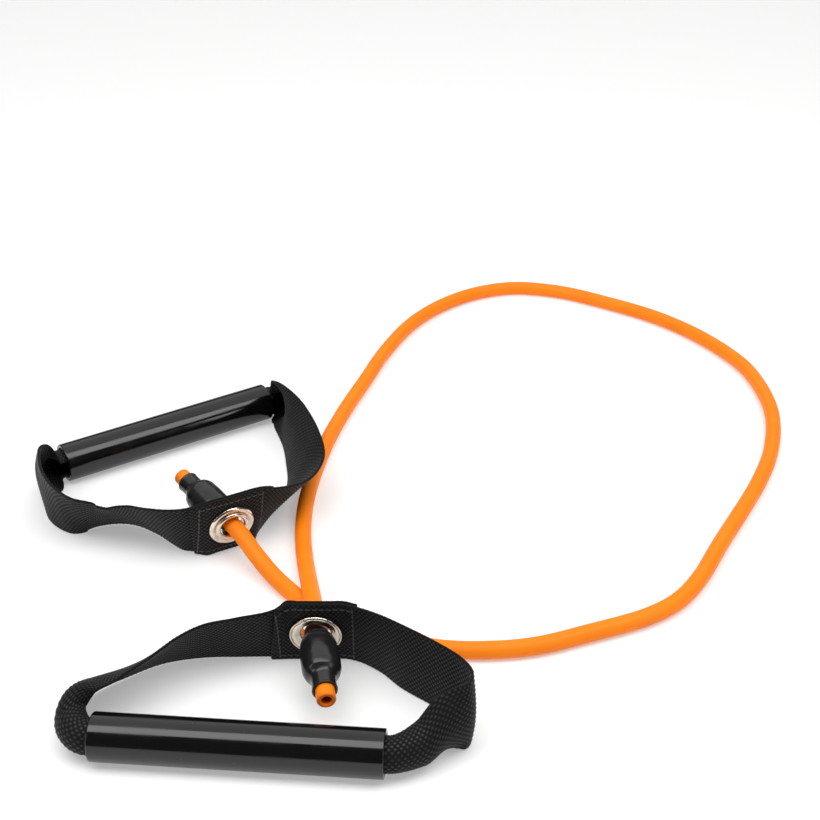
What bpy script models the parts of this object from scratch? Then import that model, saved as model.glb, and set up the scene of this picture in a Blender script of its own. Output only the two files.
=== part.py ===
"""Resistance band: a hollow elastic tube with a webbing strap handle at each end.

Metres, +Z up. The floor is z = 0 and the origin is the middle of the space that the two handles
take on it. Routes on the floor are lists in millimetres, read in the direction that they run.
"""

import math

import bmesh
import bpy
import numpy as np
from mathutils import Matrix, Vector

MM = 0.001

# Elastic tube.
TUBE_OUTSIDE = 0.0088
TUBE_WALL = 0.0020
TUBE_SWELL = 0.0136  # outside diameter where the plug spreads it
TUBE_SIDES = 10
TUBE_STEP = 0.0175  # between the points of the free stretch
FIT_GAP = 0.0003  # between pieces that touch

# Plug, and the sleeve over it, measured from the grommet's middle towards the grip.
SLEEVE_START = 0.0056
SLEEVE_LIP = 0.0006  # sleeve past the tube's swelling at either end
SLEEVE_NECK = 0.0080
SLEEVE_WALL = 0.0018
SLEEVE_NECK_WALL = 0.0009
SLEEVE_BASE_WALL = 0.0010
STUB = 0.0064  # bare tube past the sleeve's neck
PLUG_LENGTH = 0.0150
PLUG_TIP = 0.0036  # length of each tapered end
SWELL_TAPER = 0.0050  # length over which the tube swells

# Webbing strap.
WEB_WIDTH = 0.0380
WEB_THICK = 0.0015
WEB_STEP = 0.0045
WEB_CELLS = 6  # across the width
CURL_PAST_GRIP = 0.0030  # how far past the grip's ends the webbing stays fully curled
STITCH_THICK = 0.0007
STITCH_INSET = 0.0016  # from an edge of the webbing to the end of a row across it
STITCH_FROM_FLANGE = 0.0050  # to the rows across the webbing
STITCH_APART = 0.0021  # from a row across the webbing to the rows along it
LAP_FLAT_MARGIN = 0.0012  # flat webbing past the grommet's flange
LAP_REACH = 0.0200  # from the grommet's middle to either end of the doubled webbing

# Grommet: a flanged eyelet, and the washer that its barrel is rolled over.
HOLE = 0.0130
EYELET_WALL = 0.0006
FLANGE = 0.0246
FLANGE_RISE = 0.0013
WASHER_THICK = 0.0006
ROLL = 0.0178  # outside diameter of the rolled lip

# Grip.
GRIP_LENGTH = 0.1270
GRIP_OUTSIDE = 0.0215
GRIP_WALL = 0.0020
GRIP_EDGE = 0.0012

# The tube's free stretch, from the front grommet to the back one: x, y, height of its underside.
TUBE_ROUTE = [
    (42.6, -60, 13.6), (41.0, -47, 10.8), (37.0, -22, 5.0), (33.1, 5, 0.8), (31.2, 27, 0.1),
    (31.4, 52, 0.1), (35, 85, 0.1), (41, 118, 0.1), (49, 149, 0.1), (60, 184, 0.1), (72, 222, 0.1),
    (90, 262, 0.1), (111, 289, 0.1), (135, 307, 0.1), (162, 315, 0.1), (193, 309, 0.1),
    (221, 294, 0.1), (255, 270, 0.1), (280, 242, 0.1), (300, 205, 0.1), (306, 175, 0.1),
    (306, 143, 0.1), (297, 104, 0.1), (283, 71, 0.1), (250, 12, 0.1), (234, -17, 0.1),
    (221, -34, 0.1), (205, -46, 0.1), (174, -59, 0.1), (145, -69, 0.1), (116, -71.5, 0.1),
    (98, -69.5, 0.1), (82, -64, 0.1), (66, -57.5, 0.1), (53, -52, 0.1), (43, -44.5, 0.1),
    (33, -33, 0.1), (19, -16.5, 1.8), (8.3, -4, 7.2), (1.5, 4.5, 11.6),
]

# Each handle: middle of its grommet, heading and lean of the doubled webbing there, where that
# webbing's two ends are, the way that the tube's end points, the grip's middle and heading, and the
# strap's two free runs. A strap point is x, y, lean of the top towards the inside of the loop in
# degrees, and how far it is curled up, from 0 flat to 1 as in the grip. In the runs into and out of
# the grip, the first two are instead how far it is past the grip's end and aside from its axis.
HANDLES = {
    "front": {
        "grommet": (44.4, -74.6),
        "lap_heading": 0,
        "lap_lean": 9,
        "lap_ends": [(24.5, -77.2, 17, 0), (64.5, -77.0, 9, 0)],
        "tube_end": (0.155, -0.985, -0.03),
        "grip": (14.4, -139.8, -4.7),
        "leaving": [(74, -84, 6, 0), (84, -92.8, 1, 0)],
        "into_grip": [(19, 41.2, 0, 0), (29.7, 32.5, 0, 0), (36, 23.5, 0, 0.04),
                      (35.3, 13.9, 0, 0.16), (25.7, 8.6, 0, 0.45), (15.1, 3.3, 0, 0.8)],
        "out_of_grip": [(8.6, 2.6, 0, 0.93), (13.2, 7.6, 8, 0.8), (14.4, 14.3, 24, 0.6),
                        (11.2, 22.6, 40, 0.36), (3.6, 30.4, 46, 0.2)],
        "returning": [(-37.5, -96, 43, 0.06), (-23, -86, 36, 0), (-8, -80.5, 28, 0), (8, -78.5, 23, 0)],
    },
    "back": {
        "grommet": (-5.0, 11.6),
        "lap_heading": 208,
        "lap_lean": -12,
        "lap_ends": [(12, 24.5, -24, 0), (-24, 4.4, -19, 0)],
        "tube_end": (-0.64, 0.755, 0.12),
        "grip": (-52.8, 113.7, 212.3),
        "leaving": [(-33, 5.8, -23, 0), (-42, 10.5, -29, 0), (-53, 18, -36, 0), (-65, 23, -43, 0),
                    (-75, 22.5, -40, 0), (-84, 20, -29, 0)],
        "into_grip": [(19.2, 55.6, -16, 0), (22.2, 42.5, -6, 0), (21.7, 28.6, 0, 0.04),
                      (19.5, 15.8, 0, 0.2), (15, 6.8, 0, 0.48), (7.9, 1.2, 0, 0.84)],
        "out_of_grip": [(8.5, 5.2, 0, 0.86), (7.9, 12.8, 0, 0.6), (3.2, 20.5, 0, 0.34)],
        "returning": [(16.5, 118, -6, 0.08), (22.5, 99, -18, 0), (28.5, 76, -29, 0), (29.5, 58, -40, 0),
                      (23, 40, -40, 0)],
    },
}

# Sizes that follow from the ones above.
LAP_THICK = 2 * WEB_THICK + FIT_GAP
GRIP_BORE = GRIP_OUTSIDE - 2 * GRIP_WALL
CURL_RADIUS = GRIP_BORE / 2 - FIT_GAP - WEB_THICK * 0.75
CURL_IN_GRIP = WEB_WIDTH / CURL_RADIUS
EYELET_OUTSIDE = HOLE + 2 * EYELET_WALL
TAPER_FROM = SLEEVE_START + SLEEVE_LIP
SWELL_FROM = TAPER_FROM + SWELL_TAPER
SWELL_TO = SWELL_FROM + PLUG_LENGTH
TAPER_TO = SWELL_TO + SWELL_TAPER
SLEEVE_SHOULDER = TAPER_TO + SLEEVE_LIP
SLEEVE_END = SLEEVE_SHOULDER + SLEEVE_NECK
TUBE_END = SLEEVE_END + STUB
PLUG_OUTSIDE = TUBE_SWELL - 2 * TUBE_WALL - 2 * FIT_GAP
PLUG_MIDDLE = (SWELL_FROM + SWELL_TO) / 2

COLOURS = {
    "tube": ((0.95, 0.24, 0.02, 1), 0.45, 0.0),
    "plug": ((0.02, 0.02, 0.02, 1), 0.50, 0.0),
    "sleeve": ((0.028, 0.028, 0.032, 1), 0.45, 0.0),
    "webbing": ((0.012, 0.012, 0.012, 1), 0.85, 0.0),
    "thread": ((0.018, 0.018, 0.018, 1), 0.60, 0.0),
    "grommet": ((0.72, 0.66, 0.56, 1), 0.25, 1.0),
    "grip": ((0.010, 0.010, 0.010, 1), 0.15, 0.0),
}


def clear_scene():
    for obj in list(bpy.data.objects):
        bpy.data.objects.remove(obj, do_unlink=True)


def new_collection(name, hidden=False):
    collection = bpy.data.collections.new(name)
    collection.hide_render = hidden
    bpy.context.scene.collection.children.link(collection)
    return collection


def material(name, kind):
    colour, roughness, metallic = COLOURS[kind]
    made = bpy.data.materials.new(name)
    made.use_nodes = True
    shader = made.node_tree.nodes["Principled BSDF"]
    shader.inputs["Base Color"].default_value = colour
    shader.inputs["Roughness"].default_value = roughness
    shader.inputs["Metallic"].default_value = metallic
    return made


def add_object(name, data, kind, parent=None):
    obj = bpy.data.objects.new(name, data)
    data.materials.append(material(name, kind))
    PARTS.objects.link(obj)
    obj.parent = parent
    return obj


def add_empty(name, location, parent=None):
    empty = bpy.data.objects.new(name, None)
    empty.location = Vector(location)
    if parent:
        empty.location -= parent.matrix_world.translation
    empty.parent = parent
    empty.empty_display_size = 0.01
    PARTS.objects.link(empty)
    bpy.context.view_layer.update()
    return empty


def smooth_through(points, step):
    """Evenly spaced rows along a smooth curve through the points; the first three columns are its place."""
    points = np.array(points, float)
    ends = np.vstack([2 * points[0] - points[1], points, 2 * points[-1] - points[-2]])
    gaps = np.maximum(np.linalg.norm(np.diff(ends[:, :3], axis=0), axis=1), 1e-6) ** 0.5
    knots = np.concatenate([[0], np.cumsum(gaps)])
    rows = []
    for i in range(1, len(ends) - 2):
        k0, k1, k2, k3 = knots[i - 1 : i + 3]
        p0, p1, p2, p3 = ends[i - 1 : i + 3]
        for k in np.linspace(k1, k2, 24, endpoint=False):
            a1 = p0 + (p1 - p0) * (k - k0) / (k1 - k0)
            a2 = p1 + (p2 - p1) * (k - k1) / (k2 - k1)
            a3 = p2 + (p3 - p2) * (k - k2) / (k3 - k2)
            b1 = a1 + (a2 - a1) * (k - k0) / (k2 - k0)
            b2 = a2 + (a3 - a2) * (k - k1) / (k3 - k1)
            rows.append(b1 + (b2 - b1) * (k - k1) / (k2 - k1))
    rows = np.array(rows + [points[-1]])
    along = np.concatenate([[0], np.cumsum(np.linalg.norm(np.diff(rows[:, :3], axis=0), axis=1))])
    marks = np.linspace(0, along[-1], max(2, round(along[-1] / step) + 1))
    return np.column_stack([np.interp(marks, along, column) for column in rows.T])


def turned(name, outline, kind, parent, origin, axis, steps):
    """A ring or shell: its closed outline of (radius, height) turned about the axis through the origin."""
    form = bmesh.new()
    verts = [form.verts.new((radius, 0, height)) for radius, height in outline]
    for first, second in zip(verts, verts[1:] + verts[:1]):
        form.edges.new((first, second))
    mesh = bpy.data.meshes.new(name)
    form.to_mesh(mesh)
    form.free()
    obj = add_object(name, mesh, kind, parent)
    turn = Vector(axis).to_track_quat("Z", "Y").to_matrix().to_4x4()
    obj.matrix_world = Matrix.Translation(Vector(origin)) @ turn
    screw = obj.modifiers.new("turn", "SCREW")
    screw.steps = screw.render_steps = steps
    screw.use_merge_vertices = True
    screw.merge_threshold = 0.00001
    screw.use_normal_flip = not clockwise(outline)
    return obj


def clockwise(outline):
    pairs = zip(outline, outline[1:] + outline[:1])
    return sum(a[0] * b[1] - b[0] * a[1] for a, b in pairs) < 0


def end_axis(handle):
    return Vector(handle["tube_end"]).normalized()


def lap_frame(handle):
    """Middle, run, across and inward directions of the doubled webbing at the grommet."""
    heading, lean = math.radians(handle["lap_heading"]), math.radians(handle["lap_lean"])
    run = Vector((math.cos(heading), math.sin(heading), 0))
    inward = Vector((run.y, -run.x, 0))
    across = Vector((0, 0, math.cos(lean))) + inward * math.sin(lean)
    height = WEB_WIDTH / 2 * math.cos(lean) + FIT_GAP
    x, y = handle["grommet"]
    return Vector((x * MM, y * MM, height)), run, across, run.cross(across)


def grommet_middle(handle):
    return lap_frame(handle)[0]


def grip_axis(handle):
    """The grip's middle, on the floor under it, and the way it runs."""
    x, y, heading = handle["grip"]
    turn = math.radians(heading)
    return Vector((x * MM, y * MM, 0)), Vector((math.cos(turn), math.sin(turn), 0))


def tube_end_rows(handle):
    """Rows of place and outside radius along a tube end, from the grommet to its cut face."""
    half = SWELL_TAPER / 2
    marks = [0, TAPER_FROM, SWELL_FROM - half, SWELL_FROM, PLUG_MIDDLE, SWELL_TO, SWELL_TO + half,
             TAPER_TO, SLEEVE_END, TUBE_END]
    thin, mid, wide = TUBE_OUTSIDE / 2, (TUBE_OUTSIDE + TUBE_SWELL) / 4, TUBE_SWELL / 2
    radii = [thin, thin, mid, wide, wide, wide, mid, thin, thin, thin]
    middle, axis = grommet_middle(handle), end_axis(handle)
    return [(*(middle + axis * mark), radius) for mark, radius in zip(marks, radii)]


def elastic_tube(parent):
    """One hollow tube from cut face to cut face: a bevelled curve without caps, given its wall."""
    front, back = tube_end_rows(HANDLES["front"]), tube_end_rows(HANDLES["back"])
    route = [Vector(point) * MM + Vector((0, 0, TUBE_OUTSIDE / 2)) for point in TUBE_ROUTE]
    middles = [grommet_middle(HANDLES[side]) for side in ("front", "back")]
    free = smooth_through([middles[0], *route, middles[1]], TUBE_STEP)[1:-1]
    rows = front[::-1] + [(*place, TUBE_OUTSIDE / 2) for place in free] + back
    curve = bpy.data.curves.new("elastic_tube_path", "CURVE")
    curve.dimensions = "3D"
    curve.bevel_depth = TUBE_OUTSIDE / 2
    curve.bevel_resolution = (TUBE_SIDES - 4) // 2
    curve.use_fill_caps = False
    spline = curve.splines.new("POLY")
    spline.points.add(len(rows) - 1)
    for point, (x, y, z, radius) in zip(spline.points, rows):
        point.co = (x, y, z, 1)
        point.radius = radius / (TUBE_OUTSIDE / 2)
    path = bpy.data.objects.new("elastic_tube_path", curve)
    PARTS.objects.link(path)
    graph = bpy.context.evaluated_depsgraph_get()
    mesh = bpy.data.meshes.new_from_object(path.evaluated_get(graph))
    bpy.data.objects.remove(path, do_unlink=True)
    form = bmesh.new()
    form.from_mesh(mesh)
    bmesh.ops.remove_doubles(form, verts=form.verts, dist=0.000001)
    bmesh.ops.recalc_face_normals(form, faces=form.faces)
    form.to_mesh(mesh)
    form.free()
    mesh.materials.clear()
    mesh.name = "elastic_tube"
    obj = add_object("elastic_tube", mesh, "tube", parent)
    wall = obj.modifiers.new("wall", "SOLIDIFY")
    wall.thickness = TUBE_WALL
    wall.offset = -1
    return obj


def plug(side, handle, parent):
    """Barrel plug with tapered ends, inside the tube."""
    radius, half = PLUG_OUTSIDE / 2, PLUG_LENGTH / 2
    tip = TUBE_OUTSIDE / 2 - TUBE_WALL - FIT_GAP
    outline = [(0, half), (tip, half), (radius, half - PLUG_TIP), (radius, PLUG_TIP - half), (tip, -half),
               (0, -half)]
    form = bmesh.new()
    verts = [form.verts.new((x, 0, z)) for x, z in outline]
    for first, second in zip(verts, verts[1:]):
        form.edges.new((first, second))
    mesh = bpy.data.meshes.new(f"{side}_tube_plug")
    form.to_mesh(mesh)
    form.free()
    obj = add_object(f"{side}_tube_plug", mesh, "plug", parent)
    turn = end_axis(handle).to_track_quat("Z", "Y").to_matrix().to_4x4()
    obj.matrix_world = Matrix.Translation(grommet_middle(handle) + end_axis(handle) * PLUG_MIDDLE) @ turn
    screw = obj.modifiers.new("turn", "SCREW")
    screw.steps = screw.render_steps = 16
    screw.use_merge_vertices = True
    screw.merge_threshold = 0.00001
    return obj


def sleeve(side, handle, parent):
    """Rubber sleeve over the swollen tube: a barrel, a shoulder and a neck."""
    bore, neck = TUBE_SWELL / 2 + FIT_GAP, TUBE_OUTSIDE / 2 + FIT_GAP
    barrel = bore + SLEEVE_WALL
    start, shoulder, end = SLEEVE_START, SLEEVE_SHOULDER, SLEEVE_END
    base = neck + SLEEVE_BASE_WALL
    outline = [
        (neck, start), (base, start),
        (base + (barrel - base) * 0.55, start + 0.0016), (base + (barrel - base) * 0.85, start + 0.0045),
        (barrel, start + 0.0085), (barrel, SWELL_TO + 0.0006), (barrel - 0.0008, SWELL_TO + 0.0030),
        (barrel - 0.0024, shoulder - 0.0008), (neck + SLEEVE_NECK_WALL + 0.0003, shoulder),
        (neck + SLEEVE_NECK_WALL, shoulder + 0.0012), (neck + SLEEVE_NECK_WALL, end), (neck, end),
        (neck, TAPER_TO), (bore, SWELL_TO), (bore, SWELL_FROM), (neck, TAPER_FROM),
    ]
    return turned(f"{side}_sleeve", outline, "sleeve", parent, grommet_middle(handle), end_axis(handle), 24)


def strap_rows(handle):
    """Evenly spaced rows along the strap: x, y, 0, lean, curl, push towards the inside of the loop."""
    middle, along_grip = grip_axis(handle)
    aside = Vector((-along_grip.y, along_grip.x, 0))
    lap_middle, run, _, _ = lap_frame(handle)
    first, last = handle["lap_ends"]
    lap = [first]
    for mark in np.linspace(-1, 1, 5) * (FLANGE / 2 + LAP_FLAT_MARGIN):
        place = (lap_middle + run * mark) / MM
        lap.append((place.x, place.y, handle["lap_lean"], 0))
    lap.append(last)
    layer = (WEB_THICK + FIT_GAP) / 2
    rows = []

    def add(points, push):
        for px, py, lean, curl in points:
            rows.append((px * MM, py * MM, 0, math.radians(lean), curl, push))

    def beside_grip(points, way):
        """Points given from one end of the grip, as x and y; way is 1 at the end that the strap enters."""
        for past, out, lean, curl in points:
            place = middle / MM + along_grip * way * (GRIP_LENGTH / 2 / MM + past) + aside * out
            yield place.x, place.y, lean, curl

    add(lap, layer)
    add(handle["leaving"], 0)
    add(beside_grip(handle["into_grip"], 1), 0)
    for mark in np.linspace(0.5, -0.5, 9) * (GRIP_LENGTH + 2 * CURL_PAST_GRIP):
        place = middle + along_grip * mark
        rows.append((place.x, place.y, 0, 0, 1, 0))
    add(beside_grip(handle["out_of_grip"], -1), 0)
    add(handle["returning"], 0)
    add(lap, -layer)
    rows = smooth_through(rows, WEB_STEP)
    rows[:, 4] = np.clip(rows[:, 4], 0, 1)
    return rows


def strap_frames(handle):
    """For each row along the strap: its middle, the ways across and inward, its arc's angle and radius."""
    rows = strap_rows(handle)
    tangents = np.gradient(rows[:, :2], axis=0)
    tangents /= np.linalg.norm(tangents, axis=1)[:, None]
    frames = []
    for (x, y, _, lean, curl, push), (run_x, run_y) in zip(rows, tangents):
        inward = np.array([run_y, -run_x, 0])
        across = np.array([0, 0, math.cos(lean)]) + inward * math.sin(lean)
        face = np.cross([run_x, run_y, 0], across)
        arc = max(curl * CURL_IN_GRIP, 0.001)
        radius = WEB_WIDTH / arc
        push -= CURL_RADIUS * curl**2
        reach = radius * math.sin(min(arc / 2, math.pi / 2))
        sweep = radius * (1 - math.cos(arc / 2)) + push
        edge = WEB_THICK / 2 * min(1, abs(math.sin(lean)) + math.sin(min(arc / 2, math.pi / 2)))
        rest = reach * math.cos(lean) + sweep * math.sin(lean) + edge
        height = max(GRIP_OUTSIDE / 2, rest + FIT_GAP)
        frames.append((np.array([x, y, height]), across, face, arc, radius, push))
    return frames


def web_point(frame, across_mark, lift=0.0):
    """A place on the webbing, from its distance across the width and its height off the middle surface."""
    place, across, face, _, radius, push = frame
    angle = across_mark / radius
    return place + across * (radius - lift) * math.sin(angle) + face * (
        radius - (radius - lift) * math.cos(angle) + push)


def strap_mesh(name, frames):
    """The webbing's middle surface: a strip of cells, each row an arc across the width."""
    form = bmesh.new()
    marks = np.linspace(-0.5, 0.5, WEB_CELLS + 1) * WEB_WIDTH
    grid = [[form.verts.new(web_point(frame, mark)) for mark in marks] for frame in frames]
    for first, second in zip(grid, grid[1:]):
        for i in range(WEB_CELLS):
            form.faces.new((first[i], second[i], second[i + 1], first[i + 1]))
    mesh = bpy.data.meshes.new(name)
    form.to_mesh(mesh)
    form.free()
    return mesh


def strap(side, handle, parent):
    """One piece of webbing: from its inner end through the grip and back over itself."""
    obj = add_object(f"{side}_strap", strap_mesh(f"{side}_strap", strap_frames(handle)), "webbing", parent)
    obj.matrix_world = Matrix.Identity(4)
    wall = obj.modifiers.new("thickness", "SOLIDIFY")
    wall.thickness = WEB_THICK
    wall.offset = 0
    middle, _, _, inward = lap_frame(handle)
    form = bmesh.new()
    bmesh.ops.create_cone(form, cap_ends=True, segments=24, radius1=EYELET_OUTSIDE / 2 + FIT_GAP,
                          radius2=EYELET_OUTSIDE / 2 + FIT_GAP, depth=5 * LAP_THICK)
    mesh = bpy.data.meshes.new(f"{side}_grommet_hole")
    form.to_mesh(mesh)
    form.free()
    cutter = bpy.data.objects.new(f"{side}_grommet_hole", mesh)
    CUTTERS.objects.link(cutter)
    cutter.hide_render = True
    cutter.display_type = "WIRE"
    cutter.matrix_world = Matrix.Translation(middle) @ inward.to_track_quat("Z", "Y").to_matrix().to_4x4()
    hole = obj.modifiers.new("grommet_hole", "BOOLEAN")
    hole.object = cutter
    return obj


def eyelet(side, handle, parent):
    """Flanged barrel: domed flange on the inside of the loop, lip rolled over the washer outside."""
    middle, _, _, inward = lap_frame(handle)
    face = LAP_THICK / 2 + FIT_GAP
    inner, barrel, rim = HOLE / 2, EYELET_OUTSIDE / 2, FLANGE / 2
    top = face + FLANGE_RISE
    outside = -face - WASHER_THICK - FIT_GAP
    lip = ROLL / 2
    outline = [
        (inner, top - 0.0005), (inner + 0.0006, top), (inner + 0.0020, top + 0.0001),
        (rim - 0.0016, top - 0.0004), (rim - 0.0004, face + 0.0005), (rim, face + 0.0001), (rim - 0.0003, face), (barrel, face),
        (barrel, outside), (lip, outside), (lip, outside - 0.0004), (lip - 0.0006, outside - 0.0009),
        (inner + 0.0006, outside - 0.0009), (inner, outside - 0.0004),
    ]
    return turned(f"{side}_grommet_eyelet", outline, "grommet", parent, middle, inward, 24)


def washer(side, handle, parent):
    """Dished ring between the webbing's outer face and the eyelet's rolled lip."""
    middle, _, _, inward = lap_frame(handle)
    face = -LAP_THICK / 2 - FIT_GAP
    inner, rim = EYELET_OUTSIDE / 2 + FIT_GAP, FLANGE / 2
    outline = [
        (inner, face), (rim - 0.0002, face), (rim, face - 0.0002), (rim - 0.0006, face - 0.0012),
        (rim - 0.0014, face - 0.0014), (ROLL / 2 + 0.0008, face - WASHER_THICK - 0.0002),
        (ROLL / 2 + FIT_GAP, face - WASHER_THICK), (inner, face - WASHER_THICK),
    ]
    return turned(f"{side}_grommet_washer", outline, "grommet", parent, middle, inward, 24)


def grip(side, handle, parent):
    """Hard plastic tube with rounded end edges."""
    middle, run = grip_axis(handle)
    half, outer, bore = GRIP_LENGTH / 2, GRIP_OUTSIDE / 2, GRIP_BORE / 2
    edge = GRIP_EDGE * (1 - math.sqrt(0.5))
    outline = [
        (bore, half), (outer - GRIP_EDGE, half), (outer - edge, half - edge), (outer, half - GRIP_EDGE),
        (outer, GRIP_EDGE - half), (outer - edge, edge - half), (outer - GRIP_EDGE, -half), (bore, -half),
    ]
    return turned(f"{side}_grip", outline, "grip", parent, (middle.x, middle.y, outer), run, 32)


def stitch_line(side, name, ends, handle, parent):
    """A sewn row on the inner face of the lap, between two places given along and across it."""
    middle, run, _, _ = lap_frame(handle)
    lap = strap_frames(handle)[: math.ceil(LAP_REACH * 2 / WEB_STEP) + 1]
    lift = (WEB_THICK + STITCH_THICK) / 2 + FIT_GAP
    points = []
    for share in np.linspace(0, 1, 9):
        along, across = np.array(ends[0]) * (1 - share) + np.array(ends[1]) * share
        places = np.array([web_point(frame, across, lift) for frame in lap])
        marks = (places - np.array(middle)) @ np.array(run)
        points.append([np.interp(along, marks, column) for column in places.T])
    curve = bpy.data.curves.new(f"{side}_{name}", "CURVE")
    curve.dimensions = "3D"
    curve.bevel_depth = STITCH_THICK / 2
    curve.bevel_resolution = 1
    curve.use_fill_caps = True
    spline = curve.splines.new("POLY")
    spline.points.add(len(points) - 1)
    for point, place in zip(spline.points, points):
        point.co = (*place, 1)
    obj = add_object(f"{side}_{name}", curve, "thread", parent)
    obj.matrix_world = Matrix.Identity(4)
    return obj


clear_scene()
PARTS = new_collection("resistance_band")
CUTTERS = new_collection("cutters", hidden=True)

band = add_empty("band", (0, 0, 0))
elastic_tube(band)
for side, handle in HANDLES.items():
    plug(side, handle, band)
    sleeve(side, handle, band)
    swivel = add_empty(f"{side}_handle", lap_frame(handle)[0], band)
    strap(side, handle, swivel)
    eyelet(side, handle, swivel)
    washer(side, handle, swivel)
    far, reach = FLANGE / 2 + STITCH_FROM_FLANGE, WEB_WIDTH / 2 - STITCH_INSET
    near, high = far - STITCH_APART, (FLANGE + WEB_WIDTH) / 4
    for name, ends in {
        "stitch_row_inner_end": ((-far, -reach), (-far, reach)),
        "stitch_row_outer_end": ((far, -reach), (far, reach)),
        "stitch_row_top": ((-near, high), (near, high)),
        "stitch_row_bottom": ((-near, -high), (near, -high)),
    }.items():
        stitch_line(side, name, ends, handle, swivel)
    x, y, _ = grip_axis(handle)[0]
    spin = add_empty(f"{side}_grip_axis", (x, y, GRIP_OUTSIDE / 2), swivel)
    grip(side, handle, spin)
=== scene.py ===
"""The looks of a resistance band: a hollow elastic tube, with a webbing strap handle, a grommet, a
rubber sleeve and a hard grip at each end.

Metres, +Z up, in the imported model's frame: z = 0 is the floor. The tube's route and the straps'
points are lists in millimetres, the same as the solid model's.
"""

import math

import bmesh
import bpy
import numpy as np
from bpy.props import FloatProperty, FloatVectorProperty, IntProperty, PointerProperty
from bpy.types import Operator, Panel, PropertyGroup
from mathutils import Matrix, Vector


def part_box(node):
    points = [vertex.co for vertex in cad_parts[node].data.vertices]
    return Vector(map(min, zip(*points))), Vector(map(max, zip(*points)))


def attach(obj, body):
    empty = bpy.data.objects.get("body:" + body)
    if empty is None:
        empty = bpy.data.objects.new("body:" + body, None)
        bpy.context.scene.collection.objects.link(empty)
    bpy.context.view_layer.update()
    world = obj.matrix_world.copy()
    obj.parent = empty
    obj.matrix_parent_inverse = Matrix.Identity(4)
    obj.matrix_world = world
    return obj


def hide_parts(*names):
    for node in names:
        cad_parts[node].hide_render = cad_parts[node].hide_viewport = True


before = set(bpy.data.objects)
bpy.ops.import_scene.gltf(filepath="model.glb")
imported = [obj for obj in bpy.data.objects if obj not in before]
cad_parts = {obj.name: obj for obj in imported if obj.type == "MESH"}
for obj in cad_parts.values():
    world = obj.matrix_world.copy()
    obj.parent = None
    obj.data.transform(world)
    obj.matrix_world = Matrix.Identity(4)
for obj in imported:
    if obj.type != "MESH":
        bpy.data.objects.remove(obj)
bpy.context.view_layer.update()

bl_info = {
    "name": "Resistance band",
    "version": (1, 0, 0),
    "blender": (4, 5, 0),
    "location": "3D View > Sidebar > Band",
    "description": "Builds the visible pieces of a resistance band with two webbing handles",
    "category": "Object",
}

MM = 0.001
SIDES = ("front", "back")
GRIP_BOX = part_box("front_grip")
FIT_GAP = 0.0003  # between pieces that touch
LAP_FLAT_MARGIN = 0.0012  # flat webbing past the grommet's flange
CURL_PAST_GRIP = 0.0030  # how far past the grip's ends the webbing stays fully curled
SELVEDGE = 0.0003  # rounded edge of the webbing, outside its outermost yarns
HOLE_MARGIN = 0.0014  # the webbing's cut hole is this much wider in radius than the grommet's
TUBE_STEP = 0.0030  # between rings along the tube's free stretch
LIP_ROWS = 2  # rings at each end of the tube that its rounded lips stand in for
CURVE_STEPS = 24  # steps between two points of a smooth curve
END_RINGS = 34  # rings of the tube from a grommet's middle to the cut face
SPECK = 0.045  # radius of a speck of dust, as a share of the specks' spacing

# The tube's free stretch, from the front grommet to the back one: x, y, height of its underside.
TUBE_ROUTE = [
    (42.6, -60, 13.6), (41.0, -47, 10.8), (37.0, -22, 5.0), (33.1, 5, 0.8), (31.2, 27, 0.1),
    (31.4, 52, 0.1), (35, 85, 0.1), (41, 118, 0.1), (49, 149, 0.1), (60, 184, 0.1), (72, 222, 0.1),
    (90, 262, 0.1), (111, 289, 0.1), (135, 307, 0.1), (162, 315, 0.1), (193, 309, 0.1),
    (221, 294, 0.1), (255, 270, 0.1), (280, 242, 0.1), (300, 205, 0.1), (306, 175, 0.1),
    (306, 143, 0.1), (297, 104, 0.1), (283, 71, 0.1), (250, 12, 0.1), (234, -17, 0.1),
    (221, -34, 0.1), (205, -46, 0.1), (174, -59, 0.1), (145, -69, 0.1), (116, -71.5, 0.1),
    (98, -69.5, 0.1), (82, -64, 0.1), (66, -57.5, 0.1), (53, -52, 0.1), (43, -44.5, 0.1),
    (33, -33, 0.1), (19, -16.5, 1.8), (8.3, -4, 7.2), (1.5, 4.5, 11.6),
]

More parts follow.
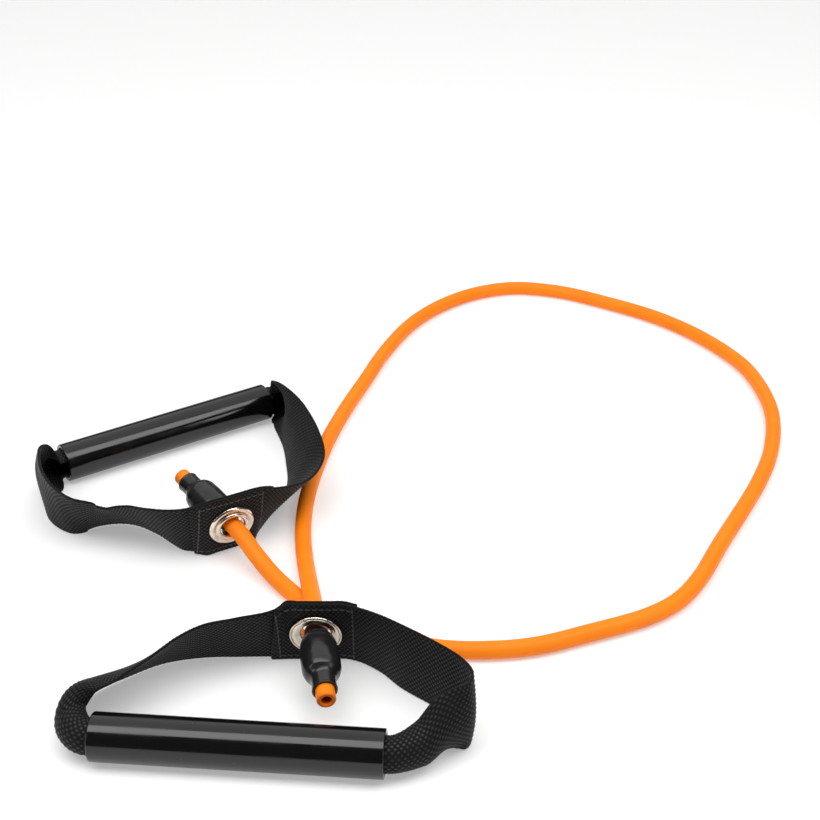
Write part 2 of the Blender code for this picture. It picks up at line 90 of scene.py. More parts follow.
# Each handle: middle of its grommet, heading and lean of the doubled webbing there, where that
# webbing's two ends are, the way that the tube's end points, the grip's middle and heading, and the
# strap's two free runs. A strap point is x, y, lean of the top towards the inside of the loop in
# degrees, and how far it is curled up, from 0 flat to 1 as in the grip. In the runs into and out of
# the grip, the first two are instead how far it is past the grip's end and aside from its axis.
HANDLES = {
    "front": {
        "grommet": (44.4, -74.6),
        "lap_heading": 0,
        "lap_lean": 9,
        "lap_ends": [(24.5, -77.2, 17, 0), (64.5, -77.0, 9, 0)],
        "tube_end": (0.155, -0.985, -0.03),
        "grip": (14.4, -139.8, -4.7),
        "leaving": [(74, -84, 6, 0), (84, -92.8, 1, 0)],
        "into_grip": [(19, 41.2, 0, 0), (29.7, 32.5, 0, 0), (36, 23.5, 0, 0.04),
                      (35.3, 13.9, 0, 0.16), (25.7, 8.6, 0, 0.45), (15.1, 3.3, 0, 0.8)],
        "out_of_grip": [(8.6, 2.6, 0, 0.93), (13.2, 7.6, 8, 0.8), (14.4, 14.3, 24, 0.6),
                        (11.2, 22.6, 40, 0.36), (3.6, 30.4, 46, 0.2)],
        "returning": [(-37.5, -96, 43, 0.06), (-23, -86, 36, 0), (-8, -80.5, 28, 0), (8, -78.5, 23, 0)],
    },
    "back": {
        "grommet": (-5.0, 11.6),
        "lap_heading": 208,
        "lap_lean": -12,
        "lap_ends": [(12, 24.5, -24, 0), (-24, 4.4, -19, 0)],
        "tube_end": (-0.64, 0.755, 0.12),
        "grip": (-52.8, 113.7, 212.3),
        "leaving": [(-33, 5.8, -23, 0), (-42, 10.5, -29, 0), (-53, 18, -36, 0), (-65, 23, -43, 0),
                    (-75, 22.5, -40, 0), (-84, 20, -29, 0)],
        "into_grip": [(19.2, 55.6, -16, 0), (22.2, 42.5, -6, 0), (21.7, 28.6, 0, 0.04),
                      (19.5, 15.8, 0, 0.2), (15, 6.8, 0, 0.48), (7.9, 1.2, 0, 0.84)],
        "out_of_grip": [(8.5, 5.2, 0, 0.86), (7.9, 12.8, 0, 0.6), (3.2, 20.5, 0, 0.34)],
        "returning": [(16.5, 118, -6, 0.08), (22.5, 99, -18, 0), (28.5, 76, -29, 0), (29.5, 58, -40, 0),
                      (23, 40, -40, 0)],
    },
}


def length(name, value, text):
    return FloatProperty(name=name, description=text, default=value, unit="LENGTH", precision=5)


def colour(name, value, text):
    return FloatVectorProperty(name=name, description=text, default=value, subtype="COLOR", size=3,
                               min=0, max=1)


class TubeSizes(PropertyGroup):
    outside: length("Outside", 0.0088, "Diameter of the bare tube")
    wall: length("Wall", 0.0020, "Wall of the tube")
    swell: length("Swelling", 0.0136, "Diameter where the plug spreads the tube")
    swell_from: length("Swelling from", 0.0112, "From the grommet's middle to the full swelling")
    swell_to: length("Swelling to", 0.0262, "From the grommet's middle to the end of the swelling")
    taper: length("Taper", 0.0050, "Length over which the tube swells")
    end: length("End", 0.0462, "From the grommet's middle to the cut face")
    lip: length("Lip", 0.0009, "Rounding of the cut edge")
    sides: IntProperty(name="Sides", description="Points round the tube", default=32, min=8)


class SleeveSizes(PropertyGroup):
    collar: length("Collar", 0.0002, "From the grommet's middle to the collar that reaches into the eyelet")
    collar_wall: length("Collar wall", 0.0009, "Wall of the collar")
    start: length("Start", 0.0056, "From the grommet's middle to the foot of the barrel")
    base_wall: length("Base wall", 0.0010, "Wall at the foot of the barrel")
    wall: length("Wall", 0.0018, "Wall round the plug")
    neck_wall: length("Neck wall", 0.0009, "Wall of the neck")
    shoulder: length("Shoulder", 0.0318, "From the grommet's middle to the foot of the neck")
    end: length("End", 0.0398, "From the grommet's middle to the neck's rim")


class WebbingSizes(PropertyGroup):
    width: length("Width", 0.0380, "Width of the webbing")
    thickness: length("Thickness", 0.0015, "Thickness over the yarns")
    pick: length("Pick", 0.0012, "Spacing of the crosswise yarns")
    relief: length("Relief", 0.00034, "Height of a yarn above the ones that it crosses")
    warps: IntProperty(name="Warps", description="Lengthwise yarns across the width", default=28, min=4)


class SewingSizes(PropertyGroup):
    thread: length("Thread", 0.0007, "Diameter of the thread")
    pitch: length("Pitch", 0.0031, "From one stitch to the next")
    inset: length("Inset", 0.0016, "From the webbing's edge to the end of a row across it")
    clear: length("Clear", 0.0050, "From the grommet's rim to the rows across the webbing")


class GrommetSizes(PropertyGroup):
    hole: length("Hole", 0.0130, "Diameter of the hole")
    flange: length("Flange", 0.0246, "Diameter of the flange and of the washer")
    mouth: length("Mouth", 0.0178, "Diameter where the flange turns into the hole, and of the rolled lip")
    rise: length("Rise", 0.0013, "Height of the flange above the webbing")
    wall: length("Wall", 0.0006, "Wall of the eyelet's barrel")
    seat: length("Seat", 0.0009, "Height of the rolled lip's seat on the washer above the webbing")


class GripSizes(PropertyGroup):
    size: length("Length", 0.1270, "Length of the grip")
    outside: length("Outside", GRIP_BOX[1].z - GRIP_BOX[0].z, "Outside diameter")
    wall: length("Wall", 0.0020, "Wall of the grip")
    edge: length("Edge", 0.0012, "Rounding of the end edges")


class BandColours(PropertyGroup):
    tube: colour("Tube", (1.0, 0.238, 0.006), "Elastic tube")
    # painted shade for the tube's inside and cut lips; also the tone of the tube's random darker patches
    bore: colour("Bore", (0.55, 0.070, 0.006), "Inside of the elastic tube")
    rubber: colour("Rubber", (0.010, 0.010, 0.011), "Sleeves")
    webbing: colour("Webbing", (0.006, 0.006, 0.0055), "Webbing yarn")
    thread: colour("Thread", (0.016, 0.016, 0.015), "Sewing thread")
    metal: colour("Metal", (0.78, 0.70, 0.59), "Grommets")
    plastic: colour("Plastic", (0.0025, 0.0025, 0.0025), "Grips")
    floor: colour("Floor", (0.66, 0.66, 0.657), "Floor")


# Meshes.


def mesh_object(name, points, faces, places=None):
    """A mesh object at the origin; places are vectors kept on its points as the attribute web_place."""
    mesh = bpy.data.meshes.new(name)
    mesh.from_pydata([tuple(point) for point in points], [], [tuple(face) for face in faces])
    if places is not None:
        mesh.attributes.new("web_place", "FLOAT_VECTOR", "POINT").data.foreach_set(
            "vector", np.asarray(places, np.float32).ravel())
    form = bmesh.new()
    form.from_mesh(mesh)
    bmesh.ops.recalc_face_normals(form, faces=form.faces)
    form.to_mesh(mesh)
    form.free()
    mesh.shade_smooth()
    obj = bpy.data.objects.new(name, mesh)
    bpy.context.scene.collection.objects.link(obj)
    return obj


def ring_faces(rows, columns, first=0, joined=False):
    """Quads between rows of points that close round, the last row joined to the first if asked."""
    faces = []
    for row in range(rows if joined else rows - 1):
        here, there = first + row * columns, first + (row + 1) % rows * columns
        for column in range(columns):
            after = (column + 1) % columns
            faces.append((here + column, here + after, there + after, there + column))
    return faces


def smooth_through(points, step):
    """Evenly spaced rows along a smooth curve through the points; the first three columns are its place."""
    points = np.array(points, float)
    ends = np.vstack([2 * points[0] - points[1], points, 2 * points[-1] - points[-2]])
    gaps = np.maximum(np.linalg.norm(np.diff(ends[:, :3], axis=0), axis=1), 1e-6) ** 0.5
    knots = np.concatenate([[0], np.cumsum(gaps)])
    rows = []
    for i in range(1, len(ends) - 2):
        k0, k1, k2, k3 = knots[i - 1 : i + 3]
        p0, p1, p2, p3 = ends[i - 1 : i + 3]
        for k in np.linspace(k1, k2, CURVE_STEPS, endpoint=False):
            a1 = p0 + (p1 - p0) * (k - k0) / (k1 - k0)
            a2 = p1 + (p2 - p1) * (k - k1) / (k2 - k1)
            a3 = p2 + (p3 - p2) * (k - k2) / (k3 - k2)
            b1 = a1 + (a2 - a1) * (k - k0) / (k2 - k0)
            b2 = a2 + (a3 - a2) * (k - k1) / (k3 - k1)
            rows.append(b1 + (b2 - b1) * (k - k1) / (k2 - k1))
    rows = np.array(rows + [points[-1]])
    along = np.concatenate([[0], np.cumsum(np.linalg.norm(np.diff(rows[:, :3], axis=0), axis=1))])
    marks = np.linspace(0, along[-1], max(2, round(along[-1] / step) + 1))
    return np.column_stack([np.interp(marks, along, column) for column in rows.T])


def eased(outline, radius, steps=4):
    """The closed outline with each corner rounded, by the radius or by what its sides leave room for."""
    rounded = []
    for i, corner in enumerate(outline):
        corner = Vector(corner)
        before, after = Vector(outline[i - 1]) - corner, Vector(outline[(i + 1) % len(outline)]) - corner
        reach = min(radius, before.length * 0.45, after.length * 0.45)
        start, end = corner + before.normalized() * reach, corner + after.normalized() * reach
        for share in np.linspace(0, 1, steps + 1):
            rounded.append(start * (1 - share) ** 2 + corner * 2 * share * (1 - share) + end * share**2)
    return [tuple(point) for point in rounded]


def turned(name, outline, origin, axis, steps=96):
    """A closed outline of (radius, height) turned about the axis through the origin."""
    to_axis = Vector(axis).to_track_quat("Z", "Y").to_matrix()
    points = []
    for step in range(steps):
        angle = math.tau * step / steps
        across = Vector((math.cos(angle), math.sin(angle), 0))
        points += [Vector(origin) + to_axis @ (across * radius + Vector((0, 0, height)))
                   for radius, height in outline]
    return mesh_object(name, points, ring_faces(steps, len(outline), joined=True))


# Places on the handles.


def lap_frame(handle):
    """Middle, run, across and inward directions of the doubled webbing at the grommet."""
    heading, lean = math.radians(handle["lap_heading"]), math.radians(handle["lap_lean"])
    run = Vector((math.cos(heading), math.sin(heading), 0))
    inward = Vector((run.y, -run.x, 0))
    across = Vector((0, 0, math.cos(lean))) + inward * math.sin(lean)
    width = bpy.context.scene.band_webbing.width
    x, y = handle["grommet"]
    return Vector((x * MM, y * MM, width / 2 * math.cos(lean) + FIT_GAP)), run, across, run.cross(across)


def end_axis(handle):
    return Vector(handle["tube_end"]).normalized()


def grip_axis(handle):
    """The grip's middle, on the floor under it, and the way it runs."""
    x, y, heading = handle["grip"]
    turn = math.radians(heading)
    return Vector((x * MM, y * MM, 0)), Vector((math.cos(turn), math.sin(turn), 0))


def strap_rows(handle, step):
    """Evenly spaced rows along the strap: x, y, 0, lean, curl, push towards the inside of the loop."""
    webbing, grip, grommet = (getattr(bpy.context.scene, "band_" + group)
                              for group in ("webbing", "grip", "grommet"))
    middle, along_grip = grip_axis(handle)
    aside = Vector((-along_grip.y, along_grip.x, 0))
    lap_middle, run, _, _ = lap_frame(handle)
    first, last = handle["lap_ends"]
    lap = [first]
    for mark in np.linspace(-1, 1, 5) * (grommet.flange / 2 + LAP_FLAT_MARGIN):
        place = (lap_middle + run * mark) / MM
        lap.append((place.x, place.y, handle["lap_lean"], 0))
    lap.append(last)
    layer = (webbing.thickness + FIT_GAP) / 2
    rows = []

    def add(points, push):
        for px, py, lean, curl in points:
            rows.append((px * MM, py * MM, 0, math.radians(lean), curl, push))

    def beside_grip(points, way):
        for past, out, lean, curl in points:
            place = middle / MM + along_grip * way * (grip.size / 2 / MM + past) + aside * out
            yield place.x, place.y, lean, curl

    add(lap, layer)
    add(handle["leaving"], 0)
    add(beside_grip(handle["into_grip"], 1), 0)
    for mark in np.linspace(0.5, -0.5, 9) * (grip.size + 2 * CURL_PAST_GRIP):
        place = middle + along_grip * mark
        rows.append((place.x, place.y, 0, 0, 1, 0))
    add(beside_grip(handle["out_of_grip"], -1), 0)
    add(handle["returning"], 0)
    add(lap, -layer)
    rows = smooth_through(rows, step)
    rows[:, 4] = np.clip(rows[:, 4], 0, 1)
    return rows


def strap_frames(handle, step):
    """For each row along the strap: its middle, the ways across and inward, its arc's angle and radius."""
    webbing, grip = bpy.context.scene.band_webbing, bpy.context.scene.band_grip
    curl_radius = grip.outside / 2 - grip.wall - FIT_GAP - webbing.thickness * 0.75
    rows = strap_rows(handle, step)
    tangents = np.gradient(rows[:, :2], axis=0)
    tangents /= np.linalg.norm(tangents, axis=1)[:, None]
    frames = []
    for (x, y, _, lean, curl, push), (run_x, run_y) in zip(rows, tangents):
        inward = np.array([run_y, -run_x, 0])
        across = np.array([0, 0, math.cos(lean)]) + inward * math.sin(lean)
        face = np.cross([run_x, run_y, 0], across)
        arc = max(curl * webbing.width / curl_radius, 0.001)
        radius = webbing.width / arc
        push -= curl_radius * curl**2
        reach = radius * math.sin(min(arc / 2, math.pi / 2))
        sweep = radius * (1 - math.cos(arc / 2)) + push
        edge = webbing.thickness / 2 * min(1, abs(math.sin(lean)) + math.sin(min(arc / 2, math.pi / 2)))
        rest = reach * math.cos(lean) + sweep * math.sin(lean) + edge
        height = max(grip.outside / 2, rest + FIT_GAP)
        frames.append((np.array([x, y, height]), across, face, arc, radius, push))
    return frames


def web_point(frame_here, across_mark, lift=0.0):
    """A place on the webbing, from its distance across the width and its height off the middle surface."""
    place, across, face, _, radius, push = frame_here
    angle = across_mark / radius
    return place + across * (radius - lift) * math.sin(angle) + face * (
        radius - (radius - lift) * math.cos(angle) + push)


# Materials.


def add_node(tree, kind, links=(), **values):
    """A node of that kind, with its settings by name and its inputs as pairs of input and value."""
    node = tree.nodes.new(kind)
    for name, value in values.items():
        setattr(node, name, value)
    for name, value in links:
        if isinstance(value, bpy.types.NodeSocket):
            tree.links.new(value, node.inputs[name])
        else:
            node.inputs[name].default_value = value
    return node


def maths(tree, operation, *values):
    """The result of a Math node."""
    return add_node(tree, "ShaderNodeMath", enumerate(values), operation=operation).outputs[0]


def ramp(tree, value, low, high, bottom=0.0, top=1.0):
    """The value brought from low..high to bottom..top, and held there outside that range."""
    node = add_node(tree, "ShaderNodeMapRange", [
        ("Value", value), ("From Min", low), ("From Max", high), ("To Min", bottom), ("To Max", top)])
    return node.outputs["Result"]


def mixed(tree, factor, first, second):
    """The first colour, turned into the second by the factor; a colour is a socket or three numbers."""
    first, second = (value if isinstance(value, bpy.types.NodeSocket) else (*value, 1)
                     for value in (first, second))
    # The Mix node's inputs 6 and 7 and its output 2 are its colours.
    return add_node(tree, "ShaderNodeMix", [(0, factor), (6, first), (7, second)],
                    data_type="RGBA").outputs[2]


def shader_group(name, inputs, outputs):
    """An empty shader group with float inputs of those names and defaults, its inputs and its outputs."""
    tree = bpy.data.node_groups.new(name, "ShaderNodeTree")
    for label, value in inputs.items():
        tree.interface.new_socket(label, in_out="INPUT", socket_type="NodeSocketFloat").default_value = value
    for label in outputs:
        tree.interface.new_socket(label, in_out="OUTPUT", socket_type="NodeSocketFloat")
    return tree, tree.nodes.new("NodeGroupInput").outputs, tree.nodes.new("NodeGroupOutput").inputs


def streaks(tree, place, stretch, detail):
    """Noise over the places, drawn out by the stretch."""
    drawn_out = add_node(tree, "ShaderNodeVectorMath", [(0, place), (1, stretch)], operation="MULTIPLY")
    return add_node(tree, "ShaderNodeTexNoise", [
        ("Vector", drawn_out.outputs[0]), ("Scale", 1.0), ("Detail", detail)]).outputs[0]


def weave_at(tree, place, pick, warp):
    """Of the warp at a place on the webbing: how far it lies over, its crown, and its number."""
    parts = add_node(tree, "ShaderNodeSeparateXYZ", [("Vector", place)]).outputs
    along, across = maths(tree, "DIVIDE", parts[0], pick), maths(tree, "DIVIDE", parts[1], warp)
    column = maths(tree, "FLOOR", across)
    phase = maths(tree, "MULTIPLY", maths(tree, "ADD", along, column), math.pi)
    over = maths(tree, "MULTIPLY", parts[2], maths(tree, "COSINE", phase))
    crown = maths(tree, "ABSOLUTE", maths(tree, "SINE", maths(tree, "MULTIPLY", across, math.pi)))
    return over, crown, column


def grain_group():
    """Fine moulded or extruded grain: a height, and slow patches that go with it."""
    if "band_grain" in bpy.data.node_groups:
        return bpy.data.node_groups["band_grain"]
    tree, given, result = shader_group("band_grain", {"Size": 0.0006, "Patch": 0.02}, ("Height", "Patches"))
    place = tree.nodes.new("ShaderNodeTexCoord").outputs["Object"]
    fine = add_node(tree, "ShaderNodeTexNoise", [
        ("Vector", place), ("Scale", maths(tree, "DIVIDE", 1.0, given["Size"])), ("Detail", 3.0)])
    slow = add_node(tree, "ShaderNodeTexNoise", [
        ("Vector", place), ("Scale", maths(tree, "DIVIDE", 1.0, given["Patch"])), ("Detail", 2.0)])
    tree.links.new(fine.outputs[0], result["Height"])
    tree.links.new(slow.outputs[0], result["Patches"])
    return tree


def dust_group():
    """Sparse specks of dust and lint, as a mask."""
    if "band_dust" in bpy.data.node_groups:
        return bpy.data.node_groups["band_dust"]
    tree, given, result = shader_group("band_dust", {"Spacing": 0.004, "Share": 0.1}, ("Mask",))
    place = tree.nodes.new("ShaderNodeTexCoord").outputs["Object"]
    cells = add_node(tree, "ShaderNodeTexVoronoi", [
        ("Vector", place), ("Scale", maths(tree, "DIVIDE", 1.0, given["Spacing"]))])
    kept = maths(tree, "LESS_THAN", add_node(
        tree, "ShaderNodeSeparateColor", [("Color", cells.outputs["Color"])]).outputs[0], given["Share"])
    spot = maths(tree, "LESS_THAN", cells.outputs["Distance"], SPECK)
    tree.links.new(maths(tree, "MULTIPLY", kept, spot), result["Mask"])
    return tree


def group_node(tree, group, **values):
    """The outputs of a group, whose inputs are set by name."""
    return add_node(tree, "ShaderNodeGroup", values.items(), node_tree=group).outputs


def finish(name, roughness, metallic=0.0, **constants):
    """A new material, its tree and its Principled shader, whose constant sockets are set here."""
    made = bpy.data.materials.new(name)
    made.use_nodes = True
    shader = made.node_tree.nodes["Principled BSDF"]
    shader.inputs["Roughness"].default_value = roughness
    shader.inputs["Metallic"].default_value = metallic
    for socket, value in constants.items():
        shader.inputs[socket.replace("_", " ")].default_value = value
    return made, made.node_tree, shader.inputs


def bumped(tree, height, distance, strength):
    """The normal that the height gives."""
    return add_node(tree, "ShaderNodeBump", [
        ("Height", height), ("Distance", distance), ("Strength", strength)]).outputs[0]


def elastomer_finish(colours):
    """Extruded elastomer: satin, with faint lines along it, and painted shade inside its bore."""
    made, tree, shader = finish("elastomer", 0.42, Specular_IOR_Level=0.16)
    place = add_node(tree, "ShaderNodeAttribute", attribute_name="web_place").outputs["Vector"]
    inside = add_node(tree, "ShaderNodeSeparateXYZ", [("Vector", place)]).outputs[2]
    grain = group_node(tree, grain_group(), Size=0.0005, Patch=0.018)
    dust = group_node(tree, dust_group(), Spacing=0.006, Share=0.10)
    lines = streaks(tree, place, (14.0, 900.0, 0.0), 3.0)
    # the bore colour also tones the random darker patches of the tube
    base = mixed(tree, ramp(tree, grain["Patches"], 0.35, 0.7, 0.0, 0.10), colours.tube, colours.bore)
    base = mixed(tree, ramp(tree, lines, 0.5, 0.8, 0.0, 0.10), base, (1.0, 0.36, 0.03))
    base = mixed(tree, maths(tree, "MULTIPLY", dust["Mask"], 0.5), base, (0.10, 0.05, 0.03))
    # painted shade: the bore colour laid over the tube's inside, and in part over its cut lips, by the share
    # kept in web_place
    tree.links.new(mixed(tree, inside, base, colours.bore), shader["Base Color"])
    tree.links.new(ramp(tree, grain["Patches"], 0.3, 0.7, 0.36, 0.50), shader["Roughness"])
    height = maths(tree, "ADD", maths(tree, "MULTIPLY", grain["Height"], 0.35), lines)
    tree.links.new(bumped(tree, height, 0.00008, 0.6), shader["Normal"])
    return made


def rubber_finish(colours):
    """Moulded rubber: satin, nearly black, with a little bloom."""
    made, tree, shader = finish("sleeve_rubber", 0.22, Specular_IOR_Level=0.42)
    grain = group_node(tree, grain_group(), Size=0.0008, Patch=0.007)
    dust = group_node(tree, dust_group(), Spacing=0.0022, Share=0.12)
    bloom = tuple(value * 2.2 + 0.006 for value in colours.rubber)
    base = mixed(tree, ramp(tree, grain["Patches"], 0.35, 0.75, 0.0, 0.35), colours.rubber, bloom)
    tree.links.new(mixed(tree, maths(tree, "MULTIPLY", dust["Mask"], 0.35), base, (0.3, 0.3, 0.3)),
                   shader["Base Color"])
    tree.links.new(ramp(tree, grain["Patches"], 0.3, 0.7, 0.17, 0.27), shader["Roughness"])
    tree.links.new(bumped(tree, grain["Height"], 0.00004, 0.4), shader["Normal"])
    return made


def webbing_finish(colours, webbing):
    """Plain weave of stout yarns: fibres run along a warp where it lies over, and across where it dips;
    painted highlight on the yarns' tops, painted shade in the dips.
    """
    made, tree, shader = finish("webbing", 0.62, Sheen_Weight=0.05, Sheen_Roughness=0.45,
                                Specular_IOR_Level=0.28)
    place = add_node(tree, "ShaderNodeAttribute", attribute_name="web_place").outputs["Vector"]
    over, crown, column = weave_at(tree, place, webbing.pick, webbing.width / webbing.warps)
    top = maths(tree, "MULTIPLY", crown, ramp(tree, over, -0.4, 0.9))
    yarn = add_node(tree, "ShaderNodeTexWhiteNoise", [("W", column)],
                    noise_dimensions="1D").outputs["Value"]
    fibres = streaks(tree, place, (900.0, 9000.0, 1.0), 2.0)
    patches = group_node(tree, grain_group(), Size=0.001, Patch=0.012)["Patches"]
    # the lighter colour is a painted highlight on the yarns' tops and also tones the fibre streaks; the
    # darker colour is painted shade in the dips and also tones random darker yarns and patches
    light = tuple(min(1.0, value * 2.0 + 0.008) for value in colours.webbing)
    dip_shade_and_yarn_tone = tuple(value * 0.25 for value in colours.webbing)
    # painted light: the yarns' tops painted lighter, the dips between them painted darker
    base = mixed(tree, top, dip_shade_and_yarn_tone, light)
    base = mixed(tree, ramp(tree, yarn, 0.0, 1.0, 0.0, 0.35), base, dip_shade_and_yarn_tone)
    base = mixed(tree, ramp(tree, patches, 0.4, 0.8, 0.0, 0.30), base, dip_shade_and_yarn_tone)
    base = mixed(tree, ramp(tree, fibres, 0.5, 0.9, 0.0, 0.4), base, light)
    tree.links.new(base, shader["Base Color"])
    tree.links.new(ramp(tree, top, 0.2, 0.9, 0.95, 0.34), shader["Roughness"])
    height = maths(tree, "ADD", maths(tree, "MULTIPLY", fibres, 0.35), top)
    tree.links.new(bumped(tree, height, 0.00012, 0.7), shader["Normal"])
    return made


def thread_finish(colours):
    """Twisted polyester thread."""
    made, tree, shader = finish("thread", 0.5, Sheen_Weight=0.2)
    grain = group_node(tree, grain_group(), Size=0.0003, Patch=0.003)
    tree.links.new(mixed(tree, grain["Patches"], colours.thread, (0.035, 0.035, 0.033)),
                   shader["Base Color"])
    tree.links.new(bumped(tree, grain["Height"], 0.00006, 0.7), shader["Normal"])
    return made


def nickel_finish(colours):
    """Bright plated metal with a fine grain and a slight tarnish."""
    made, tree, shader = finish("plated_metal", 0.16, metallic=1.0)
    grain = group_node(tree, grain_group(), Size=0.0004, Patch=0.004)
    tarnish = tuple(value * 0.72 for value in colours.metal)
    tree.links.new(mixed(tree, ramp(tree, grain["Patches"], 0.45, 0.75), colours.metal, tarnish),
                   shader["Base Color"])
    tree.links.new(ramp(tree, grain["Patches"], 0.3, 0.7, 0.11, 0.24), shader["Roughness"])
    tree.links.new(bumped(tree, grain["Height"], 0.00002, 0.4), shader["Normal"])
    return made


def plastic_finish(colours):
    """Glossy black plastic, with faint smears and some dust."""
    made, tree, shader = finish("grip_plastic", 0.12, Specular_IOR_Level=0.5)
    grain = group_node(tree, grain_group(), Size=0.0020, Patch=0.016)
    dust = group_node(tree, dust_group(), Spacing=0.0045, Share=0.16)
    specks = maths(tree, "MULTIPLY", dust["Mask"], 0.30)
    tree.links.new(mixed(tree, specks, colours.plastic, (0.35, 0.35, 0.33)), shader["Base Color"])
    smears = ramp(tree, grain["Patches"], 0.40, 0.75, 0.10, 0.22)
    tree.links.new(maths(tree, "ADD", smears, specks), shader["Roughness"])
    tree.links.new(bumped(tree, grain["Height"], 0.00001, 0.5), shader["Normal"])
    return made


def plug_finish(colours):
    """Plain moulded plastic, for what the tube hides."""
    made, tree, shader = finish("plug_plastic", 0.45)
    grain = group_node(tree, grain_group(), Size=0.0006, Patch=0.005)
    tree.links.new(mixed(tree, grain["Patches"], colours.plastic, colours.rubber), shader["Base Color"])
    return made


def floor_finish(colours):
    """A pale sheet that glows a little from below, as a light table does."""
    made, tree, shader = finish("studio_floor", 0.75, Specular_IOR_Level=0.2,
                                Emission_Color=(1, 1, 0.995, 1), Emission_Strength=0.34)
    patches = group_node(tree, grain_group(), Size=0.002, Patch=0.4)["Patches"]
    paler = tuple(min(1.0, value * 1.02) for value in colours.floor)
    tree.links.new(mixed(tree, patches, colours.floor, paler), shader["Base Color"])
    return made


def painted(obj, material_made):
    obj.data.materials.clear()
    obj.data.materials.append(material_made)
    return obj


# Trees that make what repeats.


def geometry_tree(name, inputs):
    """A geometry tree with those named inputs after its geometry; its inputs, and its last socket."""
    tree = bpy.data.node_groups.new(name, "GeometryNodeTree")
    tree.interface.new_socket("Geometry", in_out="INPUT", socket_type="NodeSocketGeometry")
    for label, kind in inputs.items():
        tree.interface.new_socket(label, in_out="INPUT", socket_type="NodeSocket" + kind)
    tree.interface.new_socket("Geometry", in_out="OUTPUT", socket_type="NodeSocketGeometry")
    return tree, tree.nodes.new("NodeGroupInput").outputs


def end_tree(tree, geometry, material_socket):
    """Ends the tree: its instances made real, shaded smooth, in their material."""
    real = add_node(tree, "GeometryNodeRealizeInstances", [("Geometry", geometry)])
    smooth = add_node(tree, "GeometryNodeSetShadeSmooth", [("Geometry", real.outputs[0])])
    coated = add_node(tree, "GeometryNodeSetMaterial", [
        ("Geometry", smooth.outputs[0]), ("Material", material_socket)])
    tree.links.new(coated.outputs[0], tree.nodes.new("NodeGroupOutput").inputs[0])
    return tree


def weave_tree():
    """Plain weave: each warp rises over one pick and dips under the next, in step with its neighbours."""
    if "webbing_weave" in bpy.data.node_groups:
        return bpy.data.node_groups["webbing_weave"]
    tree, given = geometry_tree("webbing_weave", {"Pick": "Float", "Warp": "Float", "Relief": "Float",
                                                  "Material": "Material"})
    place = add_node(tree, "GeometryNodeInputNamedAttribute", [("Name", "web_place")],
                     data_type="FLOAT_VECTOR").outputs["Attribute"]
    over, crown, _ = weave_at(tree, place, given["Pick"], given["Warp"])
    raised = maths(tree, "MULTIPLY", crown, maths(tree, "MAXIMUM", over, 0.0))
    under = maths(tree, "MAXIMUM", maths(tree, "MULTIPLY", over, -1.0), 0.0)
    dipped = maths(tree, "MULTIPLY", under, 0.22)
    height = maths(tree, "MULTIPLY", maths(tree, "ADD", raised, dipped), given["Relief"])
    offset = add_node(tree, "ShaderNodeVectorMath", [
        (0, add_node(tree, "GeometryNodeInputNormal").outputs[0]), ("Scale", height)], operation="SCALE")
    moved = add_node(tree, "GeometryNodeSetPosition", [
        ("Geometry", given["Geometry"]), ("Offset", offset.outputs[0])])
    return end_tree(tree, moved.outputs[0], given["Material"])


def sewing_tree():
    """A stitch on each point, lying along the attribute run, with the attribute out as its top."""
    if "sewn_rows" in bpy.data.node_groups:
        return bpy.data.node_groups["sewn_rows"]
    tree, given = geometry_tree("sewn_rows", {"Thread": "Float", "Stitch": "Float", "Material": "Material"})
    half = maths(tree, "MULTIPLY", given["Stitch"], 0.5)
    sunk = maths(tree, "MULTIPLY", given["Thread"], -0.9)
    corners = [add_node(tree, "ShaderNodeCombineXYZ", [("X", x), ("Z", z)]).outputs[0] for x, z in (
        (maths(tree, "MULTIPLY", half, -1.0), sunk), (0.0, given["Thread"]), (half, sunk))]
    arc = add_node(tree, "GeometryNodeCurveQuadraticBezier", [
        ("Resolution", 7), ("Start", corners[0]), ("Middle", corners[1]), ("End", corners[2])])
    ring = add_node(tree, "GeometryNodeCurvePrimitiveCircle", [
        ("Resolution", 8), ("Radius", maths(tree, "MULTIPLY", given["Thread"], 0.5))])
    stitch = add_node(tree, "GeometryNodeCurveToMesh", [
        ("Curve", arc.outputs[0]), ("Profile Curve", ring.outputs[0]), ("Fill Caps", True)])
    ways = [add_node(tree, "GeometryNodeInputNamedAttribute", [("Name", name)],
                     data_type="FLOAT_VECTOR").outputs["Attribute"] for name in ("run", "out")]
    along = add_node(tree, "FunctionNodeAlignRotationToVector", [("Vector", ways[0])], axis="X")
    upright = add_node(tree, "FunctionNodeAlignRotationToVector", [
        ("Rotation", along.outputs[0]), ("Vector", ways[1])], axis="Z", pivot_axis="X")
    placed = add_node(tree, "GeometryNodeInstanceOnPoints", [
        ("Points", given["Geometry"]), ("Instance", stitch.outputs[0]), ("Rotation", upright.outputs[0])])
    return end_tree(tree, placed.outputs[0], given["Material"])


def grown(obj, tree, **inputs):
    """The object with the tree's result as its own plain mesh."""
    modifier = obj.modifiers.new(tree.name, "NODES")
    modifier.node_group = tree
    for item in tree.interface.items_tree:
        if item.in_out == "INPUT" and item.name in inputs:
            modifier[item.identifier] = inputs[item.name]
    graph = bpy.context.evaluated_depsgraph_get()
    mesh = bpy.data.meshes.new_from_object(obj.evaluated_get(graph), preserve_all_data_layers=True,
                                           depsgraph=graph)
    obj.modifiers.remove(modifier)
    obj.data = mesh
    return obj


# Pieces.


def tube_radius(mark, tube):
    """Outside radius of the tube, at a distance from the grommet's middle towards its cut face."""
    rise = np.clip((mark - tube.swell_from + tube.taper) / tube.taper, 0, 1)
    fall = np.clip((tube.swell_to + tube.taper - mark) / tube.taper, 0, 1)
    share = min(rise, fall)
    return (tube.outside + (tube.swell - tube.outside) * share**2 * (3 - 2 * share)) / 2


